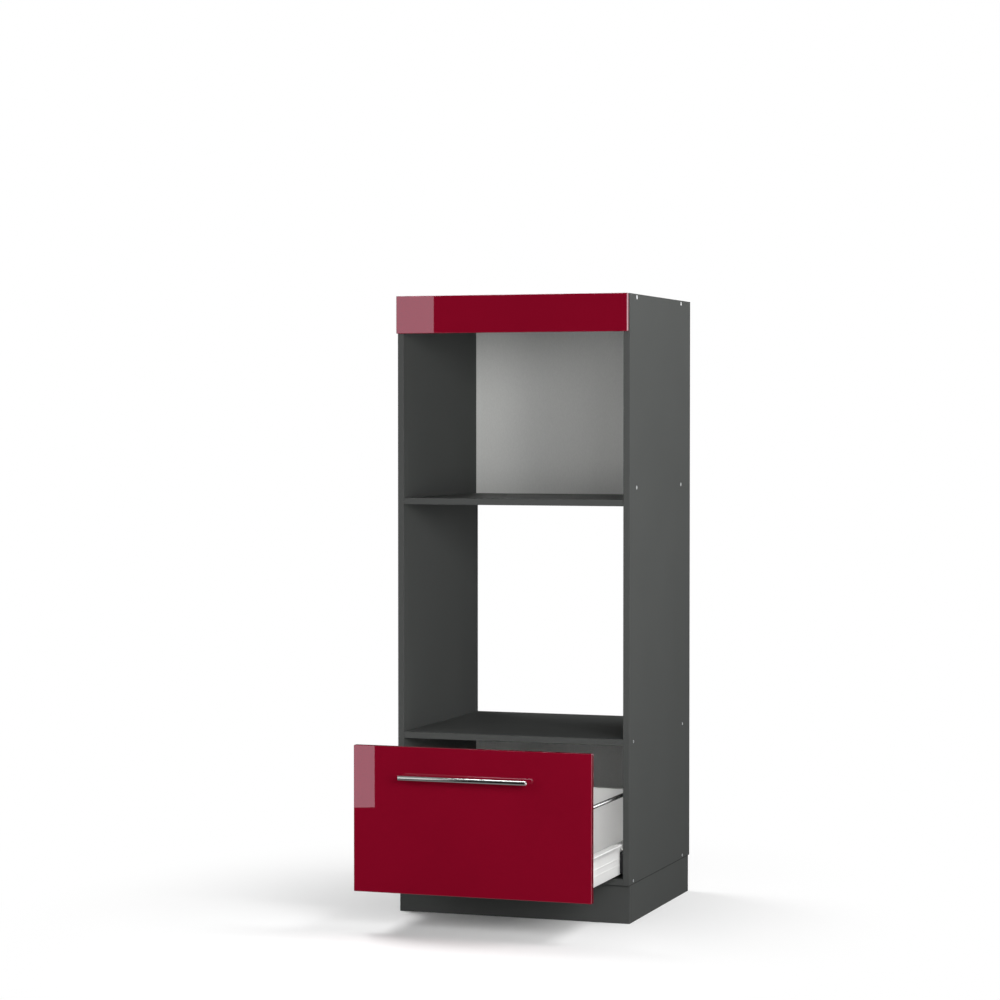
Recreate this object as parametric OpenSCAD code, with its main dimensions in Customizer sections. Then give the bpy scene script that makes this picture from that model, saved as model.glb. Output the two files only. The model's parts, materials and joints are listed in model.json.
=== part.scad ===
// Tall kitchen housing for a microwave and an oven, on a plinth, with one deep drawer below.
// Millimetres, +Z up, -Y is the front. The origin is on the floor, under the middle of the front
// plinth board. The drawer is drawn pulled out.

/* [Carcass] */
// Outer width of the carcass
carcass_w = 600; // [500:5:900]
// Depth of the carcass from its front plane to its rear edges
carcass_d = 550; // [535:5:640]
// Thickness of the carcass boards
panel_t = 16; // [15:0.5:22]
// Clear height of the drawer bay
drawer_bay_h = 324; // [290:1:400]
// Clear height of the oven niche
oven_bay_h = 565.5; // [380:0.5:620]
// Clear height of the microwave niche
microwave_bay_h = 483.5; // [300:0.5:560]

/* [Plinth] */
// Height of the plinth under the carcass
plinth_h = 94; // [80:1:160]
// Thickness of the plinth boards
plinth_t = 16; // [14:0.5:19]
// How far the front plinth board stands behind the carcass front
plinth_recess = 9; // [4:1:40]
// How far the rear plinth board stands in front of the carcass rear
plinth_rear_recess = 7; // [3:1:60]
// How far the plinth stands in from each carcass side
plinth_side_recess = 1.5; // [0.5:0.5:20]
// Leg length of the square corner blocks inside the plinth
block_leg = 28; // [24:1:36]
// Height of the corner blocks
block_h = 60; // [40:1:75]

/* [Back boards] */
// Thickness of the two thin back boards
back_t = 3; // [2.5:0.5:5]
// Distance from the carcass rear to the back boards
back_recess = 9.6; // [8:0.2:14]
// Depth of the grooves that hold the back boards
groove_depth = 6; // [4:0.5:8]
// Play of a back board in its groove, each side
groove_play = 0.2; // [0.1:0.05:0.4]

/* [Fronts] */
// Thickness of the gloss fronts
front_t = 16; // [14:0.5:22]
// How much narrower than the carcass the fronts are, each side
front_side_gap = 2; // [1:0.5:4]
// Height of the top fascia
fascia_h = 92.6; // [60:0.2:130]
// How far the drawer front stops short of the carcass boards' outer faces, above and below
front_end_gap = 2.5; // [1:0.5:5]
// Gap between the closed drawer front and the carcass
closed_gap = 2; // [1.5:0.5:4]

/* [Drawer] */
// How far the drawer is pulled out as drawn
drawer_pull = 282; // [100:1:330]
// Full travel of the drawer
drawer_travel = 370; // [340:1:380]
// Length of the drawer behind its front
drawer_len = 500; // [480:1:510]
// Air between the drawer's outer wall and the carcass side
side_air = 11; // [10.5:0.5:14]
// Height of the drawer's underside above the bottom panel
drawer_lift = 9; // [6:0.5:14]
// Height of the steel drawer sides
steel_side_h = 75.5; // [66:0.5:86]
// Width of the double wall of a drawer side
wall_w = 11; // [9:0.5:14]
// How far the top flange stands out from the wall
flange_out = 9; // [8.5:0.25:9.5]
// Height of the turned-down flange edge
lip_h = 3.2; // [2.2:0.2:3.6]
// Thickness of the drawer's sheet steel
sheet_t = 1.2; // [1:0.1:1.4]
// Width of the foot flange that carries the drawer bottom
foot_w = 24; // [20:1:34]
// Thickness of the drawer bottom and back boards
box_board_t = 16; // [12:0.5:18]
// Height of the drawer back above the drawer bottom board
back_board_h = 168; // [150:1:175]
// Height of the two pressed beads on a drawer side
bead_h = 4; // [2:0.5:8]
// How far the beads stand out
bead_out = 0.4; // [0.2:0.1:0.5]

/* [Gallery rails] */
// Diameter of the gallery rails
rail_d = 10; // [8:0.5:12]
// Wall of the gallery rail tube
rail_wall = 1; // [0.8:0.1:1.5]
// Height of the rail axis above the drawer's underside
rail_z = 189; // [172:1:194]
// How deep a rail end sits in its socket
rail_grip = 10; // [6:0.5:12]
// Outer diameter of a rail socket
socket_d = 15; // [14:0.5:18]

/* [Handle] */
// Diameter of the handle bar
bar_d = 12; // [10:0.5:16]
// Length of the handle bar
bar_len = 321; // [280:1:420]
// Distance from the face of the front to the bar's axis
bar_reach = 24; // [20:0.5:35]
// Distance between the two handle posts
post_pitch = 256; // [128:32:256]
// Diameter of the handle posts
post_d = 8; // [7:0.5:9]
// Distance from the top of the front to the bar's axis
bar_drop = 72; // [40:0.5:120]
// How far the handle stands left of the middle of the front
handle_shift = 15; // [0:1:60]

/* [Runners] */
// Length of a runner
runner_len = 500; // [490:1:510]
// How far the runner starts behind the carcass front
runner_setback = 4; // [2:0.5:8]
// Diameter of the four rollers
roller_d = 16; // [15:0.5:17]
// Width of a roller
roller_w = 5.2; // [4.5:0.1:5.4]
// Diameter of the roller axles
axle_d = 4; // [3.5:0.1:4.5]
// Running clearance of a roller on its axle
axle_play = 0.05; // [0.02:0.01:0.08]
// Gap between a roller and the tracks above and below it
track_play = 0.3; // [0.25:0.05:0.4]
// Distance from the carcass front to the front roller's axis
front_roller_y = 17; // [16:0.5:20]
// Distance from the rear end of a drawer side to the rear roller's axis
rear_roller_y = 10; // [9:0.5:16]
// Height of the dark front blocks under the front rollers
runner_block_h = 52; // [40:1:52]
// Depth of the front blocks
runner_block_d = 12; // [10:0.5:14]

/* [Fixings] */
// Head diameter of the screws through the side panels into the top panel
top_head_d = 10; // [9:0.5:12]
// Head diameter of the screws into the middle and bottom panels
base_head_d = 7.4; // [6.5:0.1:9]
// Distance from the carcass front to the front column of top screws
top_screw_front = 62; // [50:1:90]
// Distance from the carcass rear to the rear column of top screws
top_screw_rear = 88; // [60:1:120]
// Distance from the carcass front to the front column of base screws
base_screw_front = 37; // [30:1:60]
// Distance from the carcass rear to the rear column of base screws
base_screw_rear = 69; // [50:1:100]
// Length of the carcass screws
carcass_screw_len = 50; // [40:5:60]
// Height of the capped spare shelf holes above the shelf's middle
spare_lift = 36.5; // [32:0.5:64]
// Diameter of the wooden dowels
dowel_d = 8; // [6:1:10]
// Length of the wooden dowels
dowel_len = 30; // [25:1:35]
// Diameter of the shelf cams
cam_d = 15; // [14:1:18]
// Clearance of fixings in their holes
fix_play = 0.1; // [0.05:0.01:0.2]

/* [Hidden] */
$fn = 48;
sides = [-1, 1]; // left, right
ends = [0, 1]; // front, rear
eps = 0.01; // overshoot of cuts past an open face

// Carcass planes
half_w = carcass_w / 2;
inner_half = half_w - panel_t;
front_y = -(plinth_t / 2 + plinth_recess);
rear_y = front_y + carcass_d;
bottom_z = plinth_h;
bay_z = bottom_z + panel_t;
middle_z = bay_z + drawer_bay_h;
oven_z = middle_z + panel_t;
shelf_z = oven_z + oven_bay_h;
microwave_z = shelf_z + panel_t;
top_z = microwave_z + microwave_bay_h;
carcass_top = top_z + panel_t;
mid_depth_y = front_y + carcass_d / 2;

// Back boards and their grooves
back_y = rear_y - back_recess - back_t;
back_half = inner_half + groove_depth - 2 * groove_play;
back_top_play = 1;

// Fixings: shank sizes, holes and places
head_h = 3;
collar_d = 6.6;
thread_d = 4.6;
tip_h = 4;
tip_d = 2;
hex_af = 4;
hex_depth = 2;
top_rows = [front_y + top_screw_front, rear_y - top_screw_rear];
base_rows = [front_y + base_screw_front, rear_y - base_screw_rear];
panel_mid = panel_t / 2;
top_levels = [top_z + panel_mid];
base_levels = [bottom_z + panel_mid, middle_z + panel_mid];
spare_z = shelf_z + panel_mid + spare_lift;
spare_depth = 12;
cap_stem_d = 6;
cap_h = 2.2;
shelf_mid_z = shelf_z + panel_mid;
dowel_in_side = 11;
dowel_inset = 110; // from the front or the rear to a shelf dowel
panel_dowels = [for (z = concat(base_levels, top_levels)) [mid_depth_y, z]];
shelf_dowels = [for (y = [front_y + dowel_inset, rear_y - dowel_inset]) [y, shelf_mid_z]];
all_dowels = concat(panel_dowels, shelf_dowels);
cam_h = 12.5;
cam_reach = 24; // from the end of the shelf to the cam's axis
cam_bolt_d = 6;
cam_bolt_thread = 11;
cam_slot = 7;

// Fascia brackets
fascia_z = carcass_top - fascia_h;
bracket_pitch = 180;
bracket_xs = [-bracket_pitch, 0, bracket_pitch];
bracket_leg = 30;
bracket_w = 24;
bracket_t = 2;
bracket_hole = 18; // from the corner to the screw
wood_screw_d = 3.5;
wood_screw_len = 13;
pan_d = 7;
pan_h = 2;

// Plinth
plinth_half = half_w - plinth_side_recess;
plinth_front_y = front_y + plinth_recess;
plinth_rear_y = rear_y - plinth_rear_recess;
block_screw_drop = 15; // from the top of the plinth to the upper block screw
block_screw_pitch = 25;
block_screw_z = [plinth_h - block_screw_drop, plinth_h - block_screw_drop - block_screw_pitch];
plinth_screw_bite = 11;
plinth_screw_len = block_leg / 2 + plinth_screw_bite;

// Drawer, in its drawn place; box_y is the rear face of its front
box_y = front_y - closed_gap - drawer_pull;
face_y = box_y - front_t;
box_rear_y = box_y + drawer_len;
wall_out = inner_half - side_air;
wall_in = wall_out - wall_w;
flange_x = wall_out + flange_out;
box_z = bay_z + drawer_lift;
side_top_z = box_z + steel_side_h;
board_z = box_z + sheet_t;
board_top_z = board_z + box_board_t;
bracket_plate_t = 1.5;
side_y = box_y + bracket_plate_t;
drawer_front_top = oven_z - front_end_gap;
drawer_front_bottom = bottom_z + front_end_gap;
box_play = 0.3;
back_top_z = board_top_z + back_board_h;
back_board_y = box_rear_y - box_board_t;
bead_rise = 22; // from the drawer's underside to the lower bead
bead_pitch = 16;
bead_zs = [for (k = [0:1]) box_z + bead_rise + k * bead_pitch];
bottom_screw_start = 40;
bottom_screw_pitch = 140;
bottom_screws = [for (k = [0:3]) side_y + bottom_screw_start + k * bottom_screw_pitch];

// Brackets between the drawer's sides, front and back
tab_play = 0.4;
tab_len = 34;
tab_gap = 1; // above the drawer bottom and below the rear axle's rivet
plate_in = 26; // how far a bracket plate reaches past the inner wall
plate_margin = 4; // below the flange
front_screw_rise = 30; // from the drawer's underside to the lower front screw
front_screw_pitch = 28;
front_screw_zs = [for (k = [0:1]) box_z + front_screw_rise + k * front_screw_pitch];
rail_x = (wall_out + wall_in) / 2;
rail_axis_z = box_z + rail_z;
socket_len = 12;
socket_flange_d = 21;
socket_flange_t = 2.5;
socket_peg_d = 8;
socket_peg_len = 11;
back_screw_rise = 20; // from the drawer bottom to the lowest back screw
back_screw_pitch = 60;
back_screw_zs = [for (k = [0:2]) board_top_z + back_screw_rise + k * back_screw_pitch];
plate_screw_x = wall_in - plate_in / 2;

// Handle
bar_y = face_y - bar_reach;
bar_z = drawer_front_top - bar_drop;
post_xs = [for (s = sides) -handle_shift + s * post_pitch / 2];
bar_edge = 0.8;
handle_screw_d = 4;
handle_screw_grip = 9; // how deep the screw goes into a post
handle_head_d = 8;
handle_head_h = 2.6;

// Runners: tracks, rollers and their axles
web_x = inner_half - sheet_t;
roller_r = roller_d / 2;
bore_r = axle_d / 2 + axle_play;
flange_under_z = side_top_z - sheet_t;
front_axis = [front_y + front_roller_y, flange_under_z - track_play - roller_r];
channel_drop = 1.3; // from the flange edge down to the channel's top
channel_top = side_top_z - lip_h - channel_drop;
track_h = roller_d + 2 * track_play;
channel_bottom = channel_top - 2 * sheet_t - track_h;
rear_axis = [box_rear_y - rear_roller_y, channel_bottom + sheet_t + track_play + roller_r];
runner_y = front_y + runner_setback;
channel_gap = 5; // from the front roller to the channel
channel_y = front_axis[0] + roller_r + channel_gap;
channel_air = 1.4; // from the drawer's outer wall to the channel
channel_in = wall_out + channel_air;
roller_air = 2.2; // from the drawer's outer wall to a roller
roller_x0 = wall_out + roller_air;
roller_x1 = roller_x0 + roller_w;
side_play = 0.2; // between a roller and its boss
rivet_d = 7;
rivet_h = 0.8;
stop_play = 0.5; // left between the rear roller and its stop at full travel
stop_y = rear_axis[0] - (drawer_travel - drawer_pull) - roller_r - stop_play;
stop_h = 3;
stop_t = 3;
block_lead = 1; // how far the front block stands before its roller
block_drop = 2.5; // from the front roller down to its block
block_air = 1; // from the drawer's outer wall to the block
block_x = wall_out + block_air;
block_y = front_axis[0] - roller_r - block_lead;
block_top = front_axis[1] - roller_r - block_drop;
runner_screw_front = 33;
runner_screw_rear = 55;
runner_screw_ys = [
    runner_y + runner_screw_front, mid_depth_y, runner_y + runner_len - runner_screw_rear
];
runner_screw_z = rear_axis[1];
flat_head_d = 6.5;
flat_head_h = 1;
runner_screw_len = 13;
block_screw_len = 20;
block_screw_sink = 1; // how deep a head sits in its block
block_screw_inset = 12;
block_screw_zs = [
    block_top - block_screw_inset, block_top - runner_block_h + block_screw_inset
];

// Bumpers
bumper_d = 8;
bumper_t = closed_gap - 0.1;
bumper_inset = 40;
bumper_zs = [drawer_front_bottom + bumper_inset, drawer_front_top - bumper_inset];

// A board between two opposite corners
module board(low, high) {
    translate(low)
        cube(high - low);
}

// A cylinder along X, from x0 to x1 about (y, z)
module x_rod(x0, x1, y, z, d) {
    translate([x0, y, z])
        rotate([0, 90, 0])
            cylinder(d = d, h = x1 - x0);
}

// A cylinder along Y, from y0 to y1 about (x, z)
module y_rod(x, y0, y1, z, d) {
    translate([x, y0, z])
        rotate([-90, 0, 0])
            cylinder(d = d, h = y1 - y0);
}

// A right-hand shape, drawn on the right or mirrored to the left
module on_side(s) {
    mirror([s < 0 ? 1 : 0, 0, 0])
        children();
}

// The carcass screw along -X, its head flush with the right side panel
module carcass_screw(y, z, head_d) {
    difference() {
        union() {
            x_rod(half_w - head_h, half_w, y, z, head_d);
            x_rod(inner_half, half_w - head_h, y, z, collar_d);
            x_rod(half_w - carcass_screw_len + tip_h, inner_half, y, z, thread_d);
            translate([half_w - carcass_screw_len, y, z])
                rotate([0, 90, 0])
                    cylinder(d1 = tip_d, d2 = thread_d, h = tip_h, $fn = 24);
        }
        translate([half_w - hex_depth, y, z])
            rotate([0, 90, 0])
                cylinder(d = hex_af / cos(30), h = hex_depth + eps, $fn = 6);
    }
}

// The stepped hole for a carcass screw: head seat, collar and thread
module carcass_screw_hole(y, z, head_d) {
    play = 2 * fix_play;
    x_rod(half_w - head_h - fix_play, half_w + eps, y, z, head_d + play);
    x_rod(inner_half - eps, half_w, y, z, collar_d + play);
    x_rod(half_w - carcass_screw_len - 1, inner_half, y, z, thread_d + play);
}

module carcass_screw_holes(rows, levels, head_d) {
    for (s = sides, y = rows, z = levels)
        on_side(s) carcass_screw_hole(y, z, head_d);
}

module dowel_holes(places) {
    for (s = sides, p = places)
        on_side(s)
            x_rod(inner_half + dowel_in_side - dowel_len - 1, inner_half + dowel_in_side + 0.5,
                p[0], p[1], dowel_d + 2 * fix_play);
}

// The groove that holds a back board, cut along a panel's face from z0 to z1
module back_groove(z0, z1) {
    half = inner_half + groove_depth;
    board([-half, back_y - groove_play, z0], [half, back_y + back_t + groove_play, z1]);
}

// A round-headed wood screw pointing along +Z, its head's underside at the origin
module wood_screw(len = wood_screw_len, d = wood_screw_d, head_d = pan_d, head_h = pan_h) {
    difference() {
        union() {
            translate([0, 0, -head_h])
                cylinder(d1 = head_d - head_h, d2 = head_d, h = head_h / 2);
            translate([0, 0, -head_h / 2])
                cylinder(d = head_d, h = head_h / 2);
            cylinder(d = d, h = len - d);
            translate([0, 0, len - d])
                cylinder(d1 = d, d2 = d / 3, h = d);
        }
        for (a = [0, 90])
            rotate(a)
                translate([-head_d / 4, -0.4, -head_h - eps])
                    cube([head_d / 2, 0.8, head_h / 2]);
    }
}

// The hole that takes a wood screw
module wood_screw_hole(len = wood_screw_len, d = wood_screw_d) {
    translate([0, 0, -eps])
        cylinder(d = d + 2 * fix_play, h = len + 0.5);
}

// ---- Carcass ----

module side_panel(s) {
    color("dimgray")
        on_side(s)
            difference() {
                board([inner_half, front_y, bottom_z], [half_w, rear_y, carcass_top]);
                back_groove(bottom_z - eps, carcass_top + eps);
                for (y = top_rows, z = top_levels)
                    carcass_screw_hole(y, z, top_head_d);
                for (y = base_rows, z = base_levels)
                    carcass_screw_hole(y, z, base_head_d);
                for (y = top_rows) {
                    x_rod(half_w - cap_h, half_w + eps, y, spare_z, top_head_d + 2 * fix_play);
                    x_rod(half_w - spare_depth, half_w, y, spare_z, cap_stem_d + 2 * fix_play);
                }
                dowel_holes(all_dowels);
                for (y = top_rows)
                    x_rod(inner_half - eps, inner_half + cam_bolt_thread + 0.5, y, shelf_mid_z,
                        cam_bolt_d + 2 * fix_play);
                for (y = runner_screw_ys)
                    runner_screw_place(y, runner_screw_z) wood_screw_hole(runner_screw_len);
                for (z = block_screw_zs)
                    block_screw_place(z) wood_screw_hole(block_screw_len);
            }
}

// A level carcass panel between the sides, with its screw and dowel holes
module level_panel(z, rows, head_d, places) {
    difference() {
        board([-inner_half, front_y, z], [inner_half, rear_y, z + panel_t]);
        if (len(rows) > 0)
            carcass_screw_holes(rows, [z + panel_mid], head_d);
        dowel_holes(places);
        children();
    }
}

module top_panel() {
    color("dimgray")
        level_panel(top_z, top_rows, top_head_d, panel_dowels) {
            back_groove(top_z - eps, top_z + groove_depth);
            for (x = bracket_xs)
                fascia_top_screw(x) wood_screw_hole();
        }
}

module upper_shelf() {
    color("dimgray")
        level_panel(shelf_z, [], top_head_d, shelf_dowels) {
            back_groove(microwave_z - groove_depth, microwave_z + eps);
            for (s = sides, y = top_rows)
                on_side(s) {
                    translate([inner_half - cam_reach, y, shelf_z - eps])
                        cylinder(d = cam_d + 2 * fix_play, h = cam_h + eps);
                    x_rod(inner_half - cam_reach, inner_half + eps, y, shelf_mid_z,
                        cam_bolt_d + 2 * fix_play);
                }
        }
}

module middle_panel() {
    color("dimgray")
        level_panel(middle_z, base_rows, base_head_d, panel_dowels)
            back_groove(middle_z - eps, middle_z + groove_depth);
}

module bottom_panel() {
    color("dimgray")
        level_panel(bottom_z, base_rows, base_head_d, panel_dowels) {
            back_groove(bay_z - groove_depth, bay_z + eps);
            for (s = sides, e = ends)
                block_up_screw(s, e) wood_screw_hole(plinth_screw_len);
        }
}

// A thin back board, standing in the groove below and held by the grooves around it
module back_board(z0, z1) {
    board([-back_half, back_y, z0 - groove_depth],
        [back_half, back_y + back_t, z1 + groove_depth - back_top_play]);
}

module upper_back_panel() {
    color("gainsboro") back_board(microwave_z, top_z);
}

module lower_back_panel() {
    color("gainsboro") back_board(bay_z, middle_z);
}

// ---- Top fascia and its brackets ----

module top_fascia() {
    half = half_w - front_side_gap;
    color("crimson")
        difference() {
            board([-half, front_y - front_t, fascia_z], [half, front_y, carcass_top]);
            for (x = bracket_xs)
                fascia_front_screw(x) wood_screw_hole();
        }
}

// Where a bracket's screw goes into the fascia
module fascia_front_screw(x) {
    translate([x, front_y + bracket_t, top_z - bracket_hole])
        rotate([90, 0, 0])
            children();
}

// Where a bracket's screw goes up into the top panel
module fascia_top_screw(x) {
    translate([x, front_y + bracket_hole, top_z - bracket_t])
        children();
}

module fascia_brackets() {
    color("silver")
        for (x = bracket_xs)
            difference() {
                union() {
                    board([x - bracket_w / 2, front_y, top_z - bracket_leg],
                        [x + bracket_w / 2, front_y + bracket_t, top_z]);
                    board([x - bracket_w / 2, front_y, top_z - bracket_t],
                        [x + bracket_w / 2, front_y + bracket_leg, top_z]);
                }
                fascia_front_screw(x) wood_screw_hole();
                fascia_top_screw(x) wood_screw_hole();
            }
}

module fascia_screws() {
    color("lightgray")
        for (x = bracket_xs) {
            fascia_front_screw(x) wood_screw();
            fascia_top_screw(x) wood_screw();
        }
}

// ---- Plinth ----

// The inner corner of the plinth where a block sits, drawn for the front right corner
module plinth_corner(s, e) {
    x = plinth_half - plinth_t;
    y0 = plinth_front_y + plinth_t;
    y1 = plinth_rear_y - plinth_t;
    on_side(s)
        translate([x, e == 0 ? y0 : y1, plinth_h])
            mirror([0, e, 0])
                children();
}

module block_side_screw(s, e) {
    plinth_corner(s, e)
        translate([-block_leg / 2, block_leg / 2, block_screw_z[0] - plinth_h])
            rotate([0, 90, 0])
                children();
}

module block_cross_screw(s, e) {
    plinth_corner(s, e)
        translate([-block_leg / 2, block_leg / 2, block_screw_z[1] - plinth_h])
            rotate([90, 0, 0])
                children();
}

module block_up_screw(s, e) {
    plinth_corner(s, e)
        translate([-block_leg * 0.75, block_leg * 0.75, -block_leg / 2])
            children();
}

module plinth_front() {
    color("dimgray")
        difference() {
            board([-plinth_half, plinth_front_y, 0],
                [plinth_half, plinth_front_y + plinth_t, plinth_h]);
            for (s = sides)
                block_cross_screw(s, 0) wood_screw_hole(plinth_screw_len);
        }
}

module plinth_rear() {
    half = plinth_half - plinth_t;
    color("dimgray")
        difference() {
            board([-half, plinth_rear_y - plinth_t, 0], [half, plinth_rear_y, plinth_h]);
            for (s = sides)
                block_cross_screw(s, 1) wood_screw_hole(plinth_screw_len);
        }
}

module plinth_side(s) {
    color("dimgray")
        difference() {
            on_side(s)
                board([plinth_half - plinth_t, plinth_front_y + plinth_t, 0],
                    [plinth_half, plinth_rear_y, plinth_h]);
            for (e = ends)
                block_side_screw(s, e) wood_screw_hole(plinth_screw_len);
        }
}

// A plastic corner block with a pocket in front of each screw head
module plinth_corner_block(s, e) {
    pocket_d = pan_d + 2;
    deep = block_leg / 2 + 1;
    difference() {
        plinth_corner(s, e)
            board([-block_leg, 0, -block_h], [0, block_leg, 0]);
        block_side_screw(s, e) {
            wood_screw_hole(plinth_screw_len);
            translate([0, 0, -deep]) cylinder(d = pocket_d, h = deep);
        }
        block_cross_screw(s, e) {
            wood_screw_hole(plinth_screw_len);
            translate([0, 0, -deep]) cylinder(d = pocket_d, h = deep);
        }
        block_up_screw(s, e) {
            wood_screw_hole(plinth_screw_len);
            translate([0, 0, -block_h]) cylinder(d = pocket_d, h = block_h);
        }
    }
}

module plinth_corner_blocks() {
    color("black")
        for (s = sides, e = ends)
            plinth_corner_block(s, e);
}

module plinth_screws() {
    color("lightgray")
        for (s = sides, e = ends) {
            block_side_screw(s, e) wood_screw(plinth_screw_len);
            block_cross_screw(s, e) wood_screw(plinth_screw_len);
            block_up_screw(s, e) wood_screw(plinth_screw_len);
        }
}

// ---- Carcass fixings ----

module top_screws() {
    color("lightgray")
        for (s = sides, y = top_rows, z = top_levels)
            on_side(s) carcass_screw(y, z, top_head_d);
}

module base_screws() {
    color("lightgray")
        for (s = sides, y = base_rows, z = base_levels)
            on_side(s) carcass_screw(y, z, base_head_d);
}

module spare_hole_caps() {
    color("silver")
        for (s = sides, y = top_rows)
            on_side(s) {
                x_rod(half_w - cap_h, half_w, y, spare_z, top_head_d);
                x_rod(half_w - spare_depth + 2, half_w - cap_h, y, spare_z, cap_stem_d);
            }
}

module shelf_cams() {
    color("silver")
        for (s = sides, y = top_rows)
            on_side(s)
                difference() {
                    translate([inner_half - cam_reach, y, shelf_z])
                        cylinder(d = cam_d, h = cam_h - 0.5);
                    x_rod(inner_half - cam_reach - 2, inner_half, y, shelf_mid_z,
                        cam_bolt_d + 2 * fix_play);
                    translate([inner_half - cam_reach - cam_slot / 2, y - 0.75, shelf_z - eps])
                        cube([cam_slot, 1.5, 2]);
                }
}

module cam_bolts() {
    color("lightgray")
        for (s = sides, y = top_rows)
            on_side(s)
                x_rod(inner_half - cam_reach - 1.5, inner_half + cam_bolt_thread, y, shelf_mid_z,
                    cam_bolt_d);
}

module dowels() {
    color("burlywood")
        for (s = sides, p = all_dowels)
            on_side(s)
                x_rod(inner_half + dowel_in_side - dowel_len, inner_half + dowel_in_side,
                    p[0], p[1], dowel_d);
}

// ---- Runners on the carcass ----

// Where a screw goes through the right runner into the side panel
module runner_screw_place(y, z) {
    translate([web_x, y, z])
        rotate([0, 90, 0])
            children();
}

module block_screw_place(z) {
    translate([block_x + block_screw_sink + flat_head_h, block_y + runner_block_d / 2, z])
        rotate([0, 90, 0])
            children();
}

module runner(s) {
    y1 = runner_y + runner_len;
    color("white")
        on_side(s)
            difference() {
                union() {
                    board([web_x, runner_y, channel_bottom], [inner_half, y1, channel_top]);
                    for (z = [channel_bottom, channel_top - sheet_t])
                        board([channel_in, channel_y, z], [inner_half, y1, z + sheet_t]);
                    board([channel_in, y1 - sheet_t, channel_bottom],
                        [inner_half, y1, channel_top]);
                    board([channel_in, stop_y - stop_t, channel_bottom],
                        [roller_x1, stop_y, channel_bottom + sheet_t + stop_h]);
                }
                for (y = runner_screw_ys)
                    runner_screw_place(y, runner_screw_z) wood_screw_hole(runner_screw_len);
                x_rod(web_x - eps, inner_half + eps, front_axis[0], front_axis[1],
                    axle_d + 2 * fix_play);
            }
}

module runner_front_blocks() {
    sink = block_screw_sink + flat_head_h;
    color("black")
        for (s = sides)
            on_side(s)
                difference() {
                    board([block_x, block_y, block_top - runner_block_h],
                        [inner_half, block_y + runner_block_d, block_top]);
                    board([web_x - fix_play, block_y - eps, channel_bottom - fix_play],
                        [inner_half + eps, block_y + runner_block_d + eps, block_top + eps]);
                    for (z = block_screw_zs)
                        block_screw_place(z) {
                            wood_screw_hole(block_screw_len);
                            translate([0, 0, -sink - eps])
                                cylinder(d = flat_head_d + 4 * fix_play, h = sink + eps);
                        }
                }
}

module runner_screws() {
    color("lightgray")
        for (s = sides)
            on_side(s) {
                for (y = runner_screw_ys)
                    runner_screw_place(y, runner_screw_z)
                        wood_screw(runner_screw_len, head_d = flat_head_d, head_h = flat_head_h);
                for (z = block_screw_zs)
                    block_screw_place(z)
                        wood_screw(block_screw_len, head_d = flat_head_d, head_h = flat_head_h);
            }
}

// A roller on its axle: tyre with rounded shoulders and a running bore
module roller(s, axis) {
    shoulder = 0.6;
    color("white")
        on_side(s)
            translate([roller_x0, axis[0], axis[1]])
                rotate([0, 90, 0])
                    difference() {
                        union() {
                            translate([0, 0, shoulder])
                                cylinder(d = roller_d, h = roller_w - 2 * shoulder);
                            cylinder(d1 = roller_d - 2 * shoulder, d2 = roller_d, h = shoulder);
                            translate([0, 0, roller_w - shoulder])
                                cylinder(d1 = roller_d, d2 = roller_d - 2 * shoulder,
                                    h = shoulder);
                        }
                        translate([0, 0, -eps])
                            cylinder(r = bore_r, h = roller_w + 2 * eps);
                    }
}

// The front axles are riveted in the runner webs
module front_roller_axles() {
    color("silver")
        for (s = sides)
            on_side(s) {
                x_rod(roller_x0 - side_play - rivet_h, inner_half, front_axis[0], front_axis[1],
                    axle_d);
                x_rod(roller_x0 - side_play - rivet_h, roller_x0 - side_play, front_axis[0],
                    front_axis[1], rivet_d);
                x_rod(roller_x1 + side_play, web_x, front_axis[0], front_axis[1], rivet_d);
            }
}

// ---- Drawer ----

module drawer_front() {
    half = half_w - front_side_gap;
    color("crimson")
        difference() {
            board([-half, face_y, drawer_front_bottom], [half, box_y, drawer_front_top]);
            for (x = post_xs)
                y_rod(x, face_y - eps, box_y + eps, bar_z, handle_screw_d + 4 * fix_play);
            for (s = sides)
                on_side(s) {
                    y_rod(rail_x, box_y - socket_peg_len - 0.5, box_y + eps, rail_axis_z,
                        socket_peg_d + 2 * fix_play);
                    for (z = front_screw_zs)
                        front_screw_place(z) wood_screw_hole();
                }
        }
}

module handle_bar() {
    x0 = -handle_shift - bar_len / 2;
    color("silver")
        difference() {
            translate([x0, bar_y, bar_z])
                rotate([0, 90, 0])
                    union() {
                        cylinder(d1 = bar_d - 2 * bar_edge, d2 = bar_d, h = bar_edge);
                        translate([0, 0, bar_edge])
                            cylinder(d = bar_d, h = bar_len - 2 * bar_edge);
                        translate([0, 0, bar_len - bar_edge])
                            cylinder(d1 = bar_d, d2 = bar_d - 2 * bar_edge, h = bar_edge);
                    }
            for (x = post_xs)
                y_rod(x, bar_y + bar_d / 4, bar_y + bar_d, bar_z, post_d + fix_play);
        }
}

// The posts plug into the bar and are drawn against the front by screws from behind
module handle_posts() {
    color("silver")
        for (x = post_xs)
            difference() {
                y_rod(x, bar_y + bar_d / 4, face_y, bar_z, post_d);
                y_rod(x, face_y - handle_screw_grip - 1, face_y + eps, bar_z,
                    handle_screw_d + 2 * fix_play);
            }
}

module handle_screws() {
    color("lightgray")
        for (x = post_xs)
            difference() {
                union() {
                    y_rod(x, box_y, box_y + handle_head_h, bar_z, handle_head_d);
                    y_rod(x, face_y - handle_screw_grip, box_y + eps, bar_z, handle_screw_d);
                }
                for (a = [0, 90])
                    translate([x, box_y + handle_head_h, bar_z])
                        rotate([0, a, 0])
                            cube([handle_head_d / 2, 2, 1], center = true);
            }
}

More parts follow.
